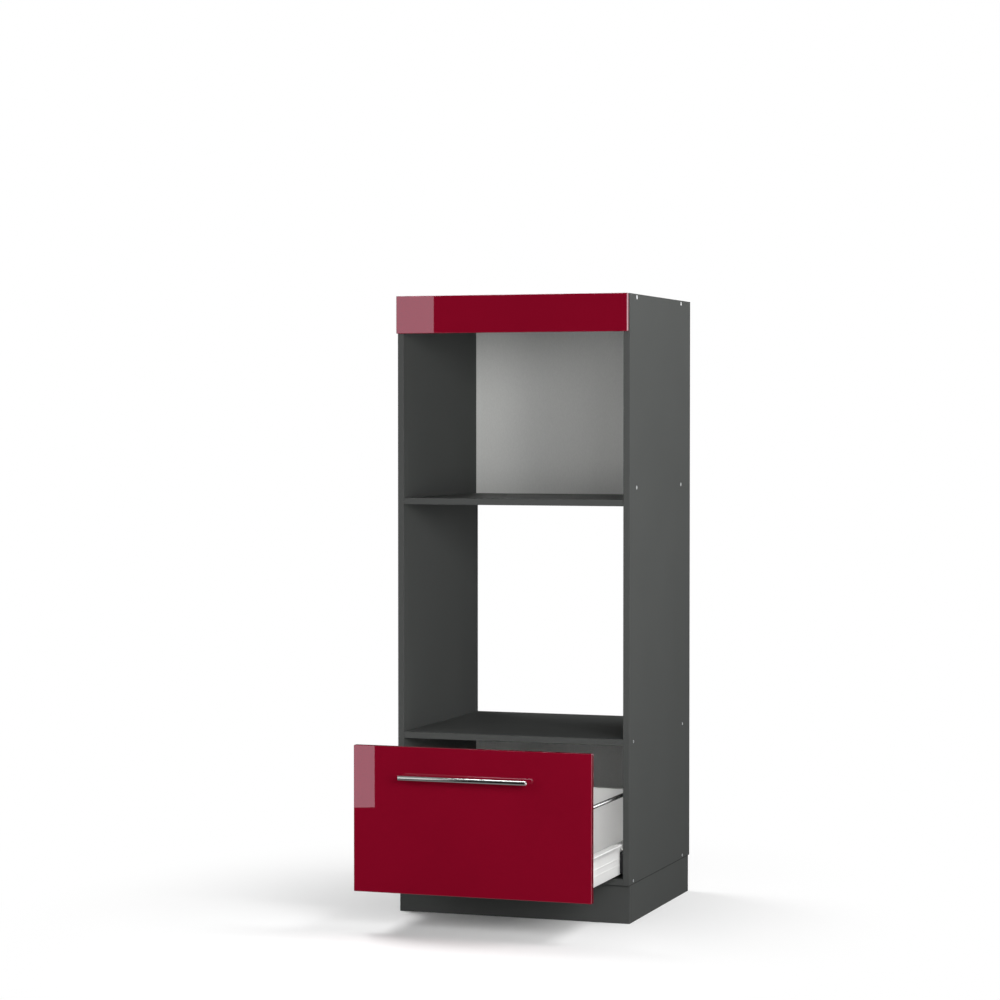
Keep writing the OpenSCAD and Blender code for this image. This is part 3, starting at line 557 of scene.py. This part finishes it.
def makeDrawerSides():
    look = steelSide
    low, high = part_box("right_drawer_side")
    half = look["sheet"] / 2
    height = (high.z - low.z) / mm
    width = (high.x - low.x) / mm
    length = high.y - low.y
    flange = width - look["foot"]
    flat = look["bead"] - 2 * look["beadSlope"]
    steps = [(look["foot"] - half, 0)]
    level = half
    for rise in look["beadRise"]:
        steps += [(0, rise - level), (look["beadOut"], look["beadSlope"]), (0, flat),
            (-look["beadOut"], look["beadSlope"])]
        level = rise + look["bead"]
    steps += [(0, height - half - level), (flange, 0), (0, half - look["lip"])]
    outer = folded("steelSide", (low.x, low.y, low.z + half * mm), length, steps,
        look["sheet"] * mm, look["bend"])
    innerX = low.x + (look["foot"] - look["wall"] + half) * mm
    innerSteps = [(0, height - look["bottom"] - half), (look["wall"] - look["sheet"] - half, 0)]
    inner = folded("innerWall", (innerX, low.y, low.z + look["bottom"] * mm), length, innerSteps,
        look["sheet"] * mm, look["bend"])
    right = joined("rightSteelSide", [outer, inner])
    left = mirroredX(right, "leftSteelSide")
    finishPiece(right, "drawer", "right_drawer_side", "white_steel", whiteSteel)
    finishPiece(left, "drawer", "left_drawer_side", "white_steel", whiteSteel)


makeDrawerSides()
print("folded the drawer sides")


# gallery rails and their sockets

gallery = dict(wall=1.0, edge=0.3, sides=64)
socket = dict(peg=11.0, pegRadius=4.0, tip=0.8, flange=10.5, rim=0.4, dish=(0.6, 0.8), flangeThick=2.5,
    fillet=1.0, collar=7.5, length=14.5, lip=0.5, bore=5.1, mouth=0.3, boreDeep=10.0)


def makeRails():
    low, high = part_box("right_gallery_rail")
    radius = (high.z - low.z) / 2 / mm
    length = (high.y - low.y) / mm
    inner, edge = radius - gallery["wall"], gallery["edge"]
    rings = [(edge, radius), (length - edge, radius), (length, radius - edge), (length, inner),
        (0, inner), (0, radius - edge), (edge, radius)]
    start = ((low.x + high.x) / 2, low.y, (low.z + high.z) / 2)
    right = turned("rightRail", start, (0, 1, 0), rings, sides=gallery["sides"], solid=False)
    left = mirroredX(right, "leftRail")
    finishPiece(right, "drawer", "right_gallery_rail", "polished_chrome", railChrome)
    finishPiece(left, "drawer", "left_gallery_rail", "polished_chrome", railChrome)


def makeSockets():
    look = socket
    low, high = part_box("rail_sockets")
    face = low.y + look["peg"] * mm  # the rear face of the drawer front
    thick, collar, length, bore = look["flangeThick"], look["collar"], look["length"], look["bore"]
    rings = [(-look["peg"], look["pegRadius"] - look["tip"]), (look["tip"] - look["peg"], look["pegRadius"]),
        (0, look["pegRadius"]), (0, look["flange"] - look["rim"]), (look["rim"], look["flange"]),
        (thick - look["dish"][0], look["flange"]), (thick, look["flange"] - look["dish"][1]),
        (thick, collar + look["fillet"]), (thick + look["fillet"], collar),
        (length - look["lip"], collar), (length, collar - look["lip"]),
        (length, bore + look["mouth"]), (length - look["mouth"], bore), (length - look["boreDeep"], bore)]
    start = (high.x - look["flange"] * mm, face, (low.z + high.z) / 2)
    right = turned("rightSocket", start, (0, 1, 0), rings)
    left = mirroredX(right, "leftSocket")
    finishPiece(joined("railSockets", [right, left]), "drawer", "rail_sockets", "white_plastic",
        whitePlastic)


makeRails()
makeSockets()
print("made the gallery rails")


# rollers

rollerShape = dict(shoulder=0.6, rim=6.0, web=5.6, sink=0.6, hub=3.3, fillet=0.2, bore=2.05)


def makeRollers():
    look = rollerShape
    for node, body in (("left_front_roller", "roller_front_left"),
            ("right_front_roller", "roller_front_right"), ("left_rear_roller", "roller_rear_left"),
            ("right_rear_roller", "roller_rear_right")):
        low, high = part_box(node)
        radius = (high.z - low.z) / 2 / mm
        width = (high.x - low.x) / mm
        face = [(look["shoulder"], radius), (0, radius - look["shoulder"]), (0, look["rim"]),
            (look["sink"], look["web"]), (look["sink"], look["hub"] + look["fillet"]), (0, look["hub"]),
            (0, look["bore"])]
        back = [(width - along, size) for along, size in reversed(face)]
        start = (low.x, (low.y + high.y) / 2, (low.z + high.z) / 2)
        roller = turned(node + "Wheel", start, (1, 0, 0), face + back + face[:1], solid=False)
        finishPiece(roller, body, node, "white_plastic", whitePlastic)


makeRollers()
print("made the rollers")


# carcass screws, caps and bumpers

carcassScrew = dict(edge=0.3, head=3.0, collar=3.3, collarEnd=16.0, thread=2.3, tip=46.0, end=50.0,
    point=1.0, socket=2.0, socketDeep=2.0)
spareCap = dict(radius=5.0, rings=[(0.25, 2.6), (0, 3.2), (0, 4.7), (0.3, 5.0), (2.2, 5.0), (2.2, 3.0),
    (9.2, 3.0), (10.0, 2.4)])
bumper = dict(radius=4.0, shape=[(0, 1), (0.55, 1), (0.85, 0.9), (1, 0.7)], sides=24)


def cornerRows(node, radius):  # the Y rows and Z levels of round pieces in the corners of a node's box
    radius = radius * mm
    low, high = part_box(node)
    rows = (low.y + radius, high.y - radius)
    levels = (low.z + radius, high.z - radius)
    return rows, (levels if levels[1] - levels[0] > radius else levels[:1])


def makeScrews(node, name, radius):
    look = carcassScrew
    rings = [(0, radius - look["edge"]), (look["edge"], radius), (look["head"], radius),
        (look["head"], look["collar"]), (look["collarEnd"], look["collar"]),
        (look["collarEnd"], look["thread"]), (look["tip"], look["thread"]), (look["end"], look["point"])]
    screw = turned(name, (0, 0, 0), (-1, 0, 0), rings)
    deselectAll()  # a hexagon, for the socket of the key
    bpy.ops.mesh.primitive_cylinder_add(vertices=6, radius=look["socket"] / math.cos(math.pi / 6) * mm,
        depth=2 * look["socketDeep"] * mm, rotation=(0, math.pi / 2, 0))
    key = bpy.context.object
    cut = screw.modifiers.new("socket", "BOOLEAN")
    cut.operation = "DIFFERENCE"
    cut.object = key
    applyModifiers(screw)
    bpy.data.objects.remove(key)
    smooth(screw)
    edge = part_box(node)[1].x
    rows, levels = cornerRows(node, radius)
    pieces = []
    for level in levels:
        for row in rows:
            right = copied(screw, name, Matrix.Translation((edge, row, level)))
            pieces += [right, mirroredX(right, name)]
    bpy.data.objects.remove(screw)
    finishPiece(joined(name, pieces), "carcass", node, "zinc_steel", zincSteel)


def makeCaps():
    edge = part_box("spare_hole_caps")[1].x
    rows, levels = cornerRows("spare_hole_caps", spareCap["radius"])
    pieces = []
    for row in rows:
        right = turned("spareCap", (edge, row, levels[0]), (-1, 0, 0), spareCap["rings"])
        pieces += [right, mirroredX(right, "spareCap")]
    finishPiece(joined("spareCaps", pieces), "carcass", "spare_hole_caps", "grey_plastic", greyPlastic)


def makeBumpers():
    low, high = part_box("drawer_bumpers")
    radius = bumper["radius"]
    thick = (high.y - low.y) / mm
    rings = [(thick * along, radius * share) for along, share in bumper["shape"]]
    pieces = []
    for level in (low.z + radius * mm, high.z - radius * mm):
        right = turned("bumper", (high.x - radius * mm, low.y, level), (0, 1, 0), rings,
            sides=bumper["sides"])
        pieces += [right, mirroredX(right, "bumper")]
    finishPiece(joined("softBumpers", pieces), "drawer", "drawer_bumpers", "clear_rubber", clearRubber)


makeScrews("top_screws", "topScrews", radius=5.0)
makeScrews("base_screws", "baseScrews", radius=3.7)
makeCaps()
makeBumpers()
print("made the screws, caps and bumpers")


# studio: floor, backdrop, lights and camera

def combined(tree, operation, first, second):  # a maths node on two outputs
    node = tree.nodes.new("ShaderNodeMath")
    node.operation = operation
    tree.links.new(first, node.inputs[0])
    tree.links.new(second, node.inputs[1])
    return node.outputs["Value"]


def mixed(tree, share, first, second):
    node = tree.nodes.new("ShaderNodeMixShader")
    tree.links.new(share, node.inputs["Fac"])
    tree.links.new(first, node.inputs[1])
    tree.links.new(second, node.inputs[2])
    return node.outputs["Shader"]


floorLook = dict(size=60.0, colour=(0.92, 0.92, 0.92), bounce=(0.3, 0.3, 0.3), middle=(-0.15, -0.06),
    squeeze=1.48, fadeFrom=0.1, fadeTo=1.68, roughness=0.9)


def makeFloor():
    bpy.ops.mesh.primitive_plane_add(size=floorLook["size"], location=(0, 0, 0))
    floor = bpy.context.object
    floor.name = "studioFloor"
    settle(floor)
    finish = newFinish("studioFloor", floorLook["colour"], floorLook["roughness"], specular=0.0)
    tree = finish.node_tree
    place = tree.nodes.new("ShaderNodeTexCoord")
    oval = tree.nodes.new("ShaderNodeMapping")  # the floor fades to white outside an oval shadow
    oval.inputs["Location"].default_value = (-floorLook["middle"][0] * floorLook["squeeze"],
        -floorLook["middle"][1], 0)
    oval.inputs["Scale"].default_value = (floorLook["squeeze"], 1, 1)
    distance = tree.nodes.new("ShaderNodeVectorMath")
    distance.operation = "LENGTH"
    tree.links.new(place.outputs["Object"], oval.inputs["Vector"])
    tree.links.new(oval.outputs["Vector"], distance.inputs[0])
    fade = rangedNode(tree, distance.outputs["Value"], floorLook["fadeFrom"], floorLook["fadeTo"], 0, 1,
        "SMOOTHSTEP")
    rays = tree.nodes.new("ShaderNodeLightPath")
    seen = combined(tree, "MAXIMUM", rays.outputs["Is Camera Ray"], rays.outputs["Is Glossy Ray"])
    seen = combined(tree, "MAXIMUM", seen, rays.outputs["Is Transmission Ray"])
    bounce = tree.nodes.new("ShaderNodeBsdfDiffuse")  # the floor throws little light back up
    bounce.inputs["Color"].default_value = (*floorLook["bounce"], 1)
    glow = tree.nodes.new("ShaderNodeEmission")
    lit = mixed(tree, rays.outputs["Is Camera Ray"], bounce.outputs["BSDF"],
        tree.nodes["Principled BSDF"].outputs["BSDF"])
    surface = mixed(tree, combined(tree, "MULTIPLY", seen, fade), lit, glow.outputs["Emission"])
    tree.links.new(surface, tree.nodes["Material Output"].inputs["Surface"])
    floor.data.materials.append(finish)
    floor.visible_glossy = False  # the fronts mirror the dark half of the studio, not the floor


def makeWorld():
    look = dict(fill=0.06, dark=0.02, back=1.6, ceiling=0.55, below=0.45, rearwards=(-0.05, 0.35),
        rightwards=(0.02, 0.1), horizon=(-0.14, 0.0), up=(0.35, 0.85), down=(-0.35, -0.85))
    world = bpy.data.worlds.new("studioWorld")
    bpy.context.scene.world = world
    world.use_nodes = True
    tree = world.node_tree
    for old in list(tree.nodes):
        tree.nodes.remove(old)
    place = tree.nodes.new("ShaderNodeTexCoord")
    axes = tree.nodes.new("ShaderNodeSeparateXYZ")
    tree.links.new(place.outputs["Generated"], axes.inputs["Vector"])

    def band(axis, reach, low, high):
        return rangedNode(tree, axes.outputs[axis], reach[0], reach[1], low, high, "SMOOTHSTEP")

    # what polished pieces see: a pale wall behind the right side, dark towards the front and left
    rightHalf = combined(tree, "MULTIPLY", band("Y", look["rearwards"], 0.0, 1.0),
        band("X", look["rightwards"], 0.0, 1.0))
    wall = combined(tree, "MULTIPLY", rightHalf, band("Z", look["horizon"], look["dark"], look["back"]))
    upper = combined(tree, "MAXIMUM", wall, band("Z", look["up"], 0.0, look["ceiling"]))
    strength = combined(tree, "MAXIMUM", upper, band("Z", look["down"], 0.0, look["below"]))
    rays = tree.nodes.new("ShaderNodeLightPath")
    panorama = tree.nodes.new("ShaderNodeBackground")
    tree.links.new(strength, panorama.inputs["Strength"])
    fill = tree.nodes.new("ShaderNodeBackground")
    fill.inputs["Strength"].default_value = look["fill"]
    white = tree.nodes.new("ShaderNodeBackground")
    for plain in (panorama, fill, white):
        plain.inputs["Color"].default_value = (1, 1, 1, 1)
    polished = combined(tree, "MAXIMUM", rays.outputs["Is Glossy Ray"], rays.outputs["Is Transmission Ray"])
    lighting = mixed(tree, polished, fill.outputs["Background"], panorama.outputs["Background"])
    backdrop = mixed(tree, rays.outputs["Is Camera Ray"], lighting, white.outputs["Background"])
    output = tree.nodes.new("ShaderNodeOutputWorld")
    tree.links.new(backdrop, output.inputs["Surface"])


def softbox(name, centre, target, width, height, power, mirrored=False, lights=True):
    bpy.ops.object.light_add(type="AREA", location=centre)
    box = bpy.context.object
    box.name = name
    box.data.shape = "RECTANGLE"
    box.data.size = width
    box.data.size_y = height
    box.data.energy = power
    box.rotation_euler = (Vector(target) - Vector(centre)).to_track_quat("-Z", "Y").to_euler()
    box.visible_camera = False
    box.visible_glossy = mirrored
    box.visible_diffuse = lights
    return box


# the left card's inner edge stands where its reflection ends on both fronts
leftCard = dict(edge=(-1.263, -2.889), width=1.5, height=2.8, sunk=0.066, turn=24, power=23, keyPower=66)
boxes = (
    # a strip that only shows in polished pieces, as the bright line along the handle
    dict(name="topStrip", centre=(-0.42, -0.4, 4.0), target=(-0.42, -0.4, 0.0), width=1.7, height=0.6,
        power=60, mirrored=True, lights=False),
    dict(name="rightKey", centre=(2.1, -2.8, 1.7), target=(0.0, 0.0, 0.9), width=1.2, height=1.0, power=47),
    dict(name="rightWide", centre=(2.9, -2.4, 1.3), target=(0.0, 0.0, 0.9), width=1.2, height=1.6,
        power=36, mirrored=True),
    dict(name="frontal", centre=(1.2, -3.6, 1.1), target=(0.0, 0.0, 0.9), width=1.4, height=1.4, power=31),
    dict(name="rightLow", centre=(2.3, -2.6, 0.6), target=(0.0, 0.0, 0.8), width=1.2, height=0.9, power=17),
    dict(name="sideHigh", centre=(2.2, 0.2, 3.0), target=(0.3, 0.2, 0.9), width=1.0, height=1.0, power=55),
    dict(name="highLeft", centre=(-2.6, 1.4, 5.0), target=(0.0, 0.4, 0.0), width=2.0, height=2.0, power=176),
    # a pale card at the right for the rounded edges of the fronts and the end of the bar
    dict(name="rightCard", centre=(3.2, -0.6, 0.6), target=(0.0, -0.1, 0.6), width=2.4, height=3.2,
        power=80, mirrored=True, lights=False),
)


def makeLights():
    card = leftCard
    turn = math.radians(card["turn"])
    centre = (card["edge"][0] - math.cos(turn) * card["width"] / 2,
        card["edge"][1] + math.sin(turn) * card["width"] / 2, card["height"] / 2 - card["sunk"])
    facing = (centre[0] + math.sin(turn), centre[1] + math.cos(turn), centre[2])
    softbox("leftCard", centre, facing, card["width"], card["height"], card["power"], mirrored=True,
        lights=False)
    softbox("leftKey", centre, facing, card["width"], card["height"], card["keyPower"])
    for box in boxes:
        softbox(**box)


def makeCamera():
    look = dict(place=(2.29509, -6.73217, 1.21318), turn=19.109, tilt=1.49, focus=2896.31, frame=1000,
        sensor=36, reach=100)
    bpy.ops.object.camera_add(location=look["place"])
    camera = bpy.context.object
    camera.rotation_euler = (math.radians(90 - look["tilt"]), 0, math.radians(look["turn"]))
    camera.data.sensor_width = look["sensor"]
    camera.data.lens = look["focus"] / look["frame"] * look["sensor"]
    camera.data.clip_end = look["reach"]
    bpy.context.scene.camera = camera


makeFloor()
makeWorld()
makeLights()
makeCamera()
bpy.context.scene.view_settings.view_transform = "Standard"
print("set up the studio")
